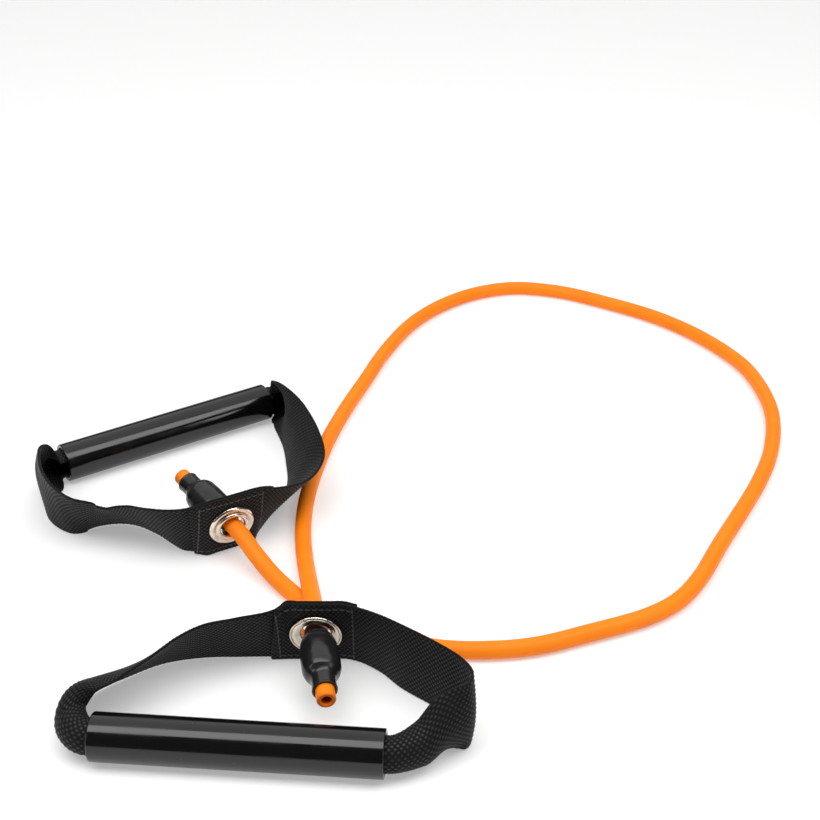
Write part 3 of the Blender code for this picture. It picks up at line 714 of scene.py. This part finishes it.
def tube_path(tube):
    """Places and outside radii from the front cut face to the back one."""
    marks = np.linspace(tube.end, 0, END_RINGS)
    ends = {}
    for side, handle in HANDLES.items():
        middle, axis = lap_frame(handle)[0], end_axis(handle)
        ends[side] = [(*(middle + axis * mark), tube_radius(mark, tube)) for mark in marks]
    route = [Vector(point) * MM + Vector((0, 0, tube.outside / 2)) for point in TUBE_ROUTE]
    middles = [lap_frame(HANDLES[side])[0] for side in SIDES]
    free = smooth_through([middles[0], *route, middles[1]], TUBE_STEP)[1:-1]
    rows = np.array(
        ends["front"] + [(*place, tube.outside / 2) for place in free] + ends["back"][::-1])
    return rows[:, :3], rows[:, 3]


def lip_profile(radius, bore, lip):
    """The cut end from its outside to its bore, as depth from the cut face and radius."""
    turn = np.linspace(0, math.pi / 2, 6)
    outer = [(lip * (1 - math.sin(angle)), radius - lip * (1 - math.cos(angle))) for angle in turn]
    inner_lip = (radius - bore - lip) * 0.6
    inner = [(inner_lip * (1 - math.cos(angle)), bore + inner_lip * (1 - math.sin(angle))) for angle in turn]
    return outer + inner


def tube_rings(tube):
    """The tube's skin, in rings along its outside from front to back, and back inside its bore.

    Gives its points, their web_place (along, round, and the share of painted bore shade: 0 outside,
    0.25 to 0.4 on the cut lips, 1 inside), how many rings there are, the places along its middle, and its
    length.
    """
    places, radii = tube_path(tube)
    ways = np.gradient(places, axis=0)
    ways /= np.linalg.norm(ways, axis=1)[:, None]
    down = np.array([0, 0, -1.0]) - ways * -ways[:, 2:3]
    down /= np.linalg.norm(down, axis=1)[:, None]
    side = np.cross(ways, down)
    along = np.concatenate([[0], np.cumsum(np.linalg.norm(np.diff(places, axis=0), axis=1))])
    lip = lip_profile(radii[0], radii[0] - tube.wall, tube.lip)
    last = len(places) - 1
    straight = range(LIP_ROWS, len(places) - LIP_ROWS)
    rings = [(places[i], i, radii[i], along[i], 0.0) for i in straight]
    # the cut lip at each end takes part of the painted bore shade: 0.4 across its flat face, 0.25 on its
    # rounded edges
    rings += [(places[-1] - ways[-1] * depth, last, radius, along[-1] - depth, 0.25 if depth else 0.4)
              for depth, radius in lip]
    rings += [(places[i], i, radii[i] - tube.wall, along[i], 1.0) for i in reversed(straight)]
    rings += [(places[0] + ways[0] * depth, 0, radius, depth, 0.25 if depth else 0.4)
              for depth, radius in lip[::-1]]
    points, marks = [], []
    for place, i, radius, mark, inside in rings:
        for angle in np.arange(tube.sides) * math.tau / tube.sides:
            points.append(place + (down[i] * math.cos(angle) + side[i] * math.sin(angle)) * radius)
            marks.append((mark, angle * tube.outside / 2, inside))
    return points, marks, len(rings), places, along[-1]


def webbing_ring(webbing):
    """Points round the webbing: distance across, height off its middle, and 1 or -1 for its faces.

    They run over one face, round an edge in two points marked 0, back over the other face and round
    the other edge.
    """
    edge, half = webbing.width / 2, (webbing.thickness - webbing.relief) / 2
    across = np.linspace(-0.5, 0.5, 2 * webbing.warps + 1) * (webbing.width - 2 * SELVEDGE)
    ring = [(mark, half, 1) for mark in across] + [(edge, half / 2, 0), (edge, -half / 2, 0)]
    ring += [(mark, -half, -1) for mark in across[::-1]] + [(-edge, -half / 2, 0), (-edge, half / 2, 0)]
    return ring


def webbing_faces(cut):
    """Faces of a strap without its cut cells, with a wall round each hole and closed ends.

    cut has a row for each step along the strap and a column for each cell across it. Gives the faces
    and the points round the holes.
    """
    last, cells = cut.shape
    count = 2 * cells + 6
    twin = [2 * cells + 3 - i for i in range(cells + 1)]  # the same place on the other face
    faces, rim = [], set()
    for row in range(last):
        here, there = row * count, (row + 1) * count
        for i in range(count):
            after = (i + 1) % count
            cell = i if i < cells else (2 * cells + 2 - i if cells + 2 < i < 2 * cells + 3 else None)
            if cell is None or not cut[row, cell]:
                faces.append((here + i, here + after, there + after, there + i))
        for i in np.flatnonzero(cut[row]):
            # Each neighbour of a cut cell, and the two points that they share.
            for other, first, second in (
                ((row - 1, i), (row, i), (row, i + 1)), ((row + 1, i), (row + 1, i), (row + 1, i + 1)),
                ((row, i - 1), (row, i), (row + 1, i)), ((row, i + 1), (row, i + 1), (row + 1, i + 1)),
            ):
                if not cut[other]:
                    a, b = (line * count + at for line, at in (first, second))
                    c, d = (line * count + twin[at] for line, at in (second, first))
                    faces.append((a, b, c, d))
                    rim |= {a, b, c, d}
    for row in (0, last * count):
        faces += [(row + i, row + i + 1, row + twin[i + 1], row + twin[i]) for i in range(cells)]
        faces += [(row + cells, row + cells + 1, row + cells + 2, row + cells + 3),
                  (row + 2 * cells + 3, row + 2 * cells + 4, row + 2 * cells + 5, row)]
    return faces, rim


def strap_skin(handle):
    """A strap's skin, two cells to a warp and two to a pick, with a round hole in each layer of its lap.

    Gives its points, faces, web_place (along, across, and 1 or -1 on its faces) and flat length.
    """
    webbing, grommet = bpy.context.scene.band_webbing, bpy.context.scene.band_grommet
    step, cells = webbing.pick / 2, 2 * webbing.warps
    frames = strap_frames(handle, step)
    ring = webbing_ring(webbing)
    points = np.array([[web_point(here, mark, lift) for mark, lift, _ in ring] for here in frames])
    widen = webbing.width / (webbing.width - 2 * SELVEDGE)
    marks = [[(row * step, mark * widen + webbing.width / 2, face) for mark, _, face in ring]
             for row in range(len(frames))]
    middle, _, _, inward = (np.array(part) for part in lap_frame(handle))
    centres = (points[:-1, :cells] + points[1:, 1 : cells + 1]) / 2 - middle
    depth = centres @ inward
    spread = np.linalg.norm(centres - depth[..., None] * inward, axis=2)
    radius = grommet.hole / 2 + HOLE_MARGIN
    faces, rim = webbing_faces((spread < radius) & (np.abs(depth) < 3 * webbing.thickness))
    flat = points.reshape(-1, 3)
    for index in rim:
        offset = flat[index] - middle
        level = offset @ inward * inward
        flat[index] = middle + level + (offset - level) * radius / np.linalg.norm(offset - level)
    return flat, faces, np.array(marks).reshape(-1, 3), (len(frames) - 1) * step


def stitch_points(handle):
    """Places, runs and tops of the stitches of one handle, on both faces of the doubled webbing."""
    sewing, webbing, grommet = (getattr(bpy.context.scene, "band_" + group)
                                for group in ("sewing", "webbing", "grommet"))
    middle, run, _, _ = (np.array(part) for part in lap_frame(handle))
    frames = strap_frames(handle, webbing.pick)
    lap = 2 * math.ceil(grommet.flange / webbing.pick)  # frames that take in all of the doubled webbing
    far, reach = grommet.flange / 2 + sewing.clear, webbing.width / 2 - sewing.inset
    high = (grommet.flange + webbing.width) / 4
    rows = (((-far, -reach), (-far, reach)), ((far, -reach), (far, reach)),
            ((-far, high), (far, high)), ((-far, -high), (far, -high)))
    found = []
    for layer, way in ((frames[:lap], 1), (frames[-lap:], -1)):
        lift = way * webbing.thickness / 2
        for first, second in rows:
            first, second = np.array(first), np.array(second)
            count = round(np.linalg.norm(second - first) / sewing.pitch)
            line = []
            for share in np.linspace(0, 1, count + 1):
                along, across = first * (1 - share) + second * share
                places = np.array([web_point(here, across, lift) for here in layer])
                tops = np.array([here[2] for here in layer]) * way
                order = (places - middle) @ run
                line.append((np.array([np.interp(along, order, column) for column in places.T]),
                             np.array([np.interp(along, order, column) for column in tops.T])))
            for (start, top), (end, _) in zip(line, line[1:]):
                found.append(((start + end) / 2, end - start, top))
    return found


def sleeve_outline(sizes, tube):
    """Radius and distance from the grommet's middle, round the sleeve's wall."""
    bore, neck = tube.swell / 2 + FIT_GAP, tube.outside / 2 + FIT_GAP
    barrel, base = bore + sizes.wall, neck + sizes.base_wall
    rim, collar = neck + sizes.neck_wall, neck + sizes.collar_wall
    return [
        (neck, sizes.collar), (collar, sizes.collar), (collar, sizes.start), (base, sizes.start),
        (base + (barrel - base) * 0.55, sizes.start + 0.0016),
        (base + (barrel - base) * 0.85, sizes.start + 0.0045), (barrel, sizes.start + 0.0085),
        (barrel + 0.0002, tube.swell_to - 0.0060), (barrel, tube.swell_to + 0.0006),
        (barrel - 0.0008, tube.swell_to + 0.0030), (barrel - 0.0024, sizes.shoulder - 0.0008),
        (rim + 0.0003, sizes.shoulder + 0.0001), (rim, sizes.shoulder + 0.0010),
        (rim, sizes.end - 0.0011), (rim + 0.0002, sizes.end - 0.0008), (rim + 0.0002, sizes.end),
        (neck, sizes.end), (neck, tube.swell_to + tube.taper), (bore, tube.swell_to),
        (bore, tube.swell_from), (neck, tube.swell_from - tube.taper),
    ]


def eyelet_outline(sizes, face):
    """Radius and height round the eyelet: funnel, ringed flange, barrel, and lip rolled over the washer.

    Heights are from the middle of the doubled webbing, and the flange lies on it at the face.
    """
    hole, mouth, rim = sizes.hole / 2, sizes.mouth / 2, sizes.flange / 2
    top, barrel, under = face + sizes.rise, hole + sizes.wall, -face - sizes.seat
    funnel = [(hole + (mouth - hole) * (1 - math.cos(turn)), top * math.sin(turn))
              for turn in np.linspace(0, math.pi / 2, 12)[:-1]]
    crest = (mouth + rim) / 2 - 0.0007
    bead = [(crest - (crest - mouth) * math.cos(turn), top + 0.0002 * math.sin(turn))
            for turn in np.linspace(0, math.pi, 9)]
    groove = [(bead[-1][0] + 0.0001, top - 0.0009), (bead[-1][0] + 0.0005, top - 0.0009)]
    edge_radius = (rim - groove[1][0]) / 2
    edge = [(rim - edge_radius - edge_radius * math.cos(turn), top - 0.0006 + 0.0007 * math.sin(turn))
            for turn in np.linspace(0, math.pi, 10)]
    roll = [(mouth - (mouth - hole) * (1 - math.cos(turn)) / 2, under - 0.0012 * math.sin(turn))
            for turn in np.linspace(0, math.pi, 13)]
    return [*funnel, *bead, *groove, *edge, (rim, face + 0.0001), (rim - 0.0003, face), (barrel, face),
            (barrel, under + 0.0003), (mouth - 0.0005, under + 0.0003), *roll]


def washer_outline(sizes, face):
    """Radius and height round the washer, which lies on the webbing's other side, at minus the face."""
    inner, mouth, rim = sizes.hole / 2 + sizes.wall + FIT_GAP, sizes.mouth / 2, sizes.flange / 2
    return [
        (inner, -face), (rim - 0.0002, -face), (rim, -face - 0.0003), (rim - 0.0005, -face - 0.0011),
        (rim - 0.0014, -face - 0.0014), (mouth + 0.0009, -face - 0.0010),
        (mouth + FIT_GAP, -face - 0.0006), (inner, -face - 0.0006),
    ]


def rides(obj, body, slot_name, *nodes):
    """The piece on its body, in place of those nodes of the solid model; its slot name is not used."""
    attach(obj, body)
    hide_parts(*nodes)
    return obj


class BuildStage(Operator):
    """Camera, soft lights and a pale floor"""

    bl_idname = "band.build_stage"
    bl_label = "Stage"

    def execute(self, context):
        scene = context.scene
        camera = bpy.data.objects.new("camera", bpy.data.cameras.new("camera"))
        camera.location = (0.088, -0.578, 0.442)
        camera.rotation_euler = (math.radians(90 - 31.08), 0, 0)
        camera.data.lens, camera.data.sensor_width = 61.46, 36
        scene.collection.objects.link(camera)
        scene.camera = camera
        scene.view_settings.view_transform = "Standard"
        lights = {
            # middle, size, radiance, and what it faces
            "overhead_softbox": ((0.05, -0.30, 1.20), (2.2, 0.66), 4.4, (0.05, -0.30, 0)),
            "back_ceiling": ((0.1, 1.60, 1.50), (3.6, 3.0), 1.0, (0.1, 1.55, 0)),
            "left_strip": ((-1.2, -0.75, 0.62), (0.26, 0.6), 4.0, (0, 0, 0.02)),
            "right_strip": ((1.35, -0.70, 0.55), (0.26, 0.6), 4.0, (0, 0, 0.02)),
        }
        for name, (place, (width, depth), radiance, target) in lights.items():
            light = bpy.data.lights.new(name, "AREA")
            light.shape, light.size, light.size_y = "RECTANGLE", width, depth
            light.energy = radiance * math.pi * width * depth
            lamp = bpy.data.objects.new(name, light)
            lamp.location = place
            lamp.rotation_euler = (Vector(target) - Vector(place)).to_track_quat("-Z", "Y").to_euler()
            scene.collection.objects.link(lamp)
        world = bpy.data.worlds.new("studio")
        world.use_nodes = True
        world.node_tree.nodes["Background"].inputs["Color"].default_value = (1, 1, 1, 1)
        world.node_tree.nodes["Background"].inputs["Strength"].default_value = 0.10
        scene.world = world
        form = bmesh.new()
        bmesh.ops.create_grid(form, x_segments=1, y_segments=1, size=6)
        mesh = bpy.data.meshes.new("floor")
        form.to_mesh(mesh)
        form.free()
        floor = bpy.data.objects.new("floor", mesh)
        scene.collection.objects.link(floor)
        painted(floor, floor_finish(scene.band_colours))
        return {"FINISHED"}


class BuildTube(Operator):
    """The elastic tube, from cut face to cut face"""

    bl_idname = "band.build_tube"
    bl_label = "Elastic tube"

    def execute(self, context):
        tube = context.scene.band_tube
        points, marks, rings, places, total = tube_rings(tube)
        obj = mesh_object("stretch_tube", points, ring_faces(rings, tube.sides, joined=True), marks)
        painted(obj, elastomer_finish(context.scene.band_colours))
        rides(obj, "band", "tube", "elastic_tube")
        return {"FINISHED"}


class BuildPlugs(Operator):
    """The plugs that the tube hides"""

    bl_idname = "band.build_plugs"
    bl_label = "Plugs"

    def execute(self, context):
        coat = plug_finish(context.scene.band_colours)
        for side in SIDES:
            painted(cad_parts[f"{side}_tube_plug"], coat)
        return {"FINISHED"}


class BuildSleeves(Operator):
    """The rubber sleeves over the tube's swollen ends"""

    bl_idname = "band.build_sleeves"
    bl_label = "Sleeves"

    def execute(self, context):
        tube, sizes = context.scene.band_tube, context.scene.band_sleeve
        coat = rubber_finish(context.scene.band_colours)
        outline = eased(sleeve_outline(sizes, tube), 0.0007)
        for side, handle in HANDLES.items():
            obj = turned(f"{side}_rubber_sleeve", outline, lap_frame(handle)[0], end_axis(handle))
            rides(painted(obj, coat), "band", "sleeve", f"{side}_sleeve")
        return {"FINISHED"}


class BuildStraps(Operator):
    """The webbing straps, woven yarn by yarn"""

    bl_idname = "band.build_straps"
    bl_label = "Webbing straps"

    def execute(self, context):
        webbing = context.scene.band_webbing
        coat = webbing_finish(context.scene.band_colours, webbing)
        for side, handle in HANDLES.items():
            points, faces, marks, total = strap_skin(handle)
            obj = mesh_object(f"{side}_webbing", points, faces, marks)
            grown(obj, weave_tree(), Pick=webbing.pick, Warp=webbing.width / webbing.warps,
                  Relief=webbing.relief, Material=coat)
            rides(obj, f"{side}_handle", "webbing", f"{side}_strap")
        return {"FINISHED"}


class BuildStitching(Operator):
    """The sewn rows that close the doubled webbing"""

    bl_idname = "band.build_stitching"
    bl_label = "Stitching"

    def execute(self, context):
        sewing = context.scene.band_sewing
        coat = thread_finish(context.scene.band_colours)
        for side, handle in HANDLES.items():
            places, runs, tops = zip(*stitch_points(handle))
            mesh = bpy.data.meshes.new(f"{side}_stitching")
            mesh.from_pydata(places, [], [])
            for name, ways in (("run", runs), ("out", tops)):
                mesh.attributes.new(name, "FLOAT_VECTOR", "POINT").data.foreach_set(
                    "vector", np.asarray(ways, np.float32).ravel())
            obj = bpy.data.objects.new(f"{side}_stitching", mesh)
            context.scene.collection.objects.link(obj)
            grown(obj, sewing_tree(), Thread=sewing.thread, Stitch=sewing.pitch * 0.94, Material=coat)
            rides(obj, f"{side}_handle", "thread", *(f"{side}_stitch_row_{row}" for row in (
                "inner_end", "outer_end", "top", "bottom")))
        return {"FINISHED"}


class BuildGrommets(Operator):
    """The plated eyelets and their washers"""

    bl_idname = "band.build_grommets"
    bl_label = "Grommets"

    def execute(self, context):
        sizes, webbing = context.scene.band_grommet, context.scene.band_webbing
        coat = nickel_finish(context.scene.band_colours)
        face = webbing.thickness + FIT_GAP / 2 + FIT_GAP
        for side, handle in HANDLES.items():
            middle, _, _, inward = lap_frame(handle)
            for name, outline in (("eyelet", eyelet_outline(sizes, face)),
                                  ("washer", eased(washer_outline(sizes, face), 0.0005))):
                obj = turned(f"{side}_plated_{name}", outline, middle, inward)
                rides(painted(obj, coat), f"{side}_handle", "grommet", f"{side}_grommet_{name}")
        return {"FINISHED"}


class BuildGrips(Operator):
    """The hard grips"""

    bl_idname = "band.build_grips"
    bl_label = "Grips"

    def execute(self, context):
        sizes = context.scene.band_grip
        coat = plastic_finish(context.scene.band_colours)
        half, outer = sizes.size / 2, sizes.outside / 2
        bore = outer - sizes.wall
        outline = [(bore, half), (outer, half), (outer, -half), (bore, -half)]
        for side, handle in HANDLES.items():
            middle, run = grip_axis(handle)
            obj = turned(f"{side}_hard_grip", eased(outline, sizes.edge, 8), middle + Vector((0, 0, outer)),
                         run, steps=128)
            rides(painted(obj, coat), f"{side}_grip_tube", "grip", f"{side}_grip")
        return {"FINISHED"}


class BandPanel(Panel):
    """Lists what builds the band"""

    bl_label = "Resistance band"
    bl_idname = "VIEW3D_PT_resistance_band"
    bl_space_type = "VIEW_3D"
    bl_region_type = "UI"
    bl_category = "Band"

    def draw(self, context):
        for operator in OPERATORS:
            self.layout.operator(operator.bl_idname)
        for name in GROUPS:
            box = self.layout.box()
            group = getattr(context.scene, name)
            for field in group.bl_rna.properties.keys():
                if field not in ("rna_type", "name"):
                    box.prop(group, field)


GROUPS = {
    "band_tube": TubeSizes, "band_sleeve": SleeveSizes, "band_webbing": WebbingSizes,
    "band_sewing": SewingSizes, "band_grommet": GrommetSizes, "band_grip": GripSizes,
    "band_colours": BandColours,
}
OPERATORS = (BuildStage, BuildTube, BuildPlugs, BuildSleeves, BuildStraps, BuildStitching, BuildGrommets,
             BuildGrips)


def register():
    for group in GROUPS.values():
        bpy.utils.register_class(group)
    for name, group in GROUPS.items():
        setattr(bpy.types.Scene, name, PointerProperty(type=group))
    for operator in (*OPERATORS, BandPanel):
        bpy.utils.register_class(operator)


def unregister():
    for operator in reversed((*OPERATORS, BandPanel)):
        bpy.utils.unregister_class(operator)
    for name, group in GROUPS.items():
        delattr(bpy.types.Scene, name)
        bpy.utils.unregister_class(group)


def main():
    register()
    bpy.ops.band.build_stage()
    bpy.ops.band.build_tube()
    bpy.ops.band.build_plugs()
    bpy.ops.band.build_sleeves()
    bpy.ops.band.build_straps()
    bpy.ops.band.build_stitching()
    bpy.ops.band.build_grommets()
    bpy.ops.band.build_grips()


if __name__ == "__main__":
    main()
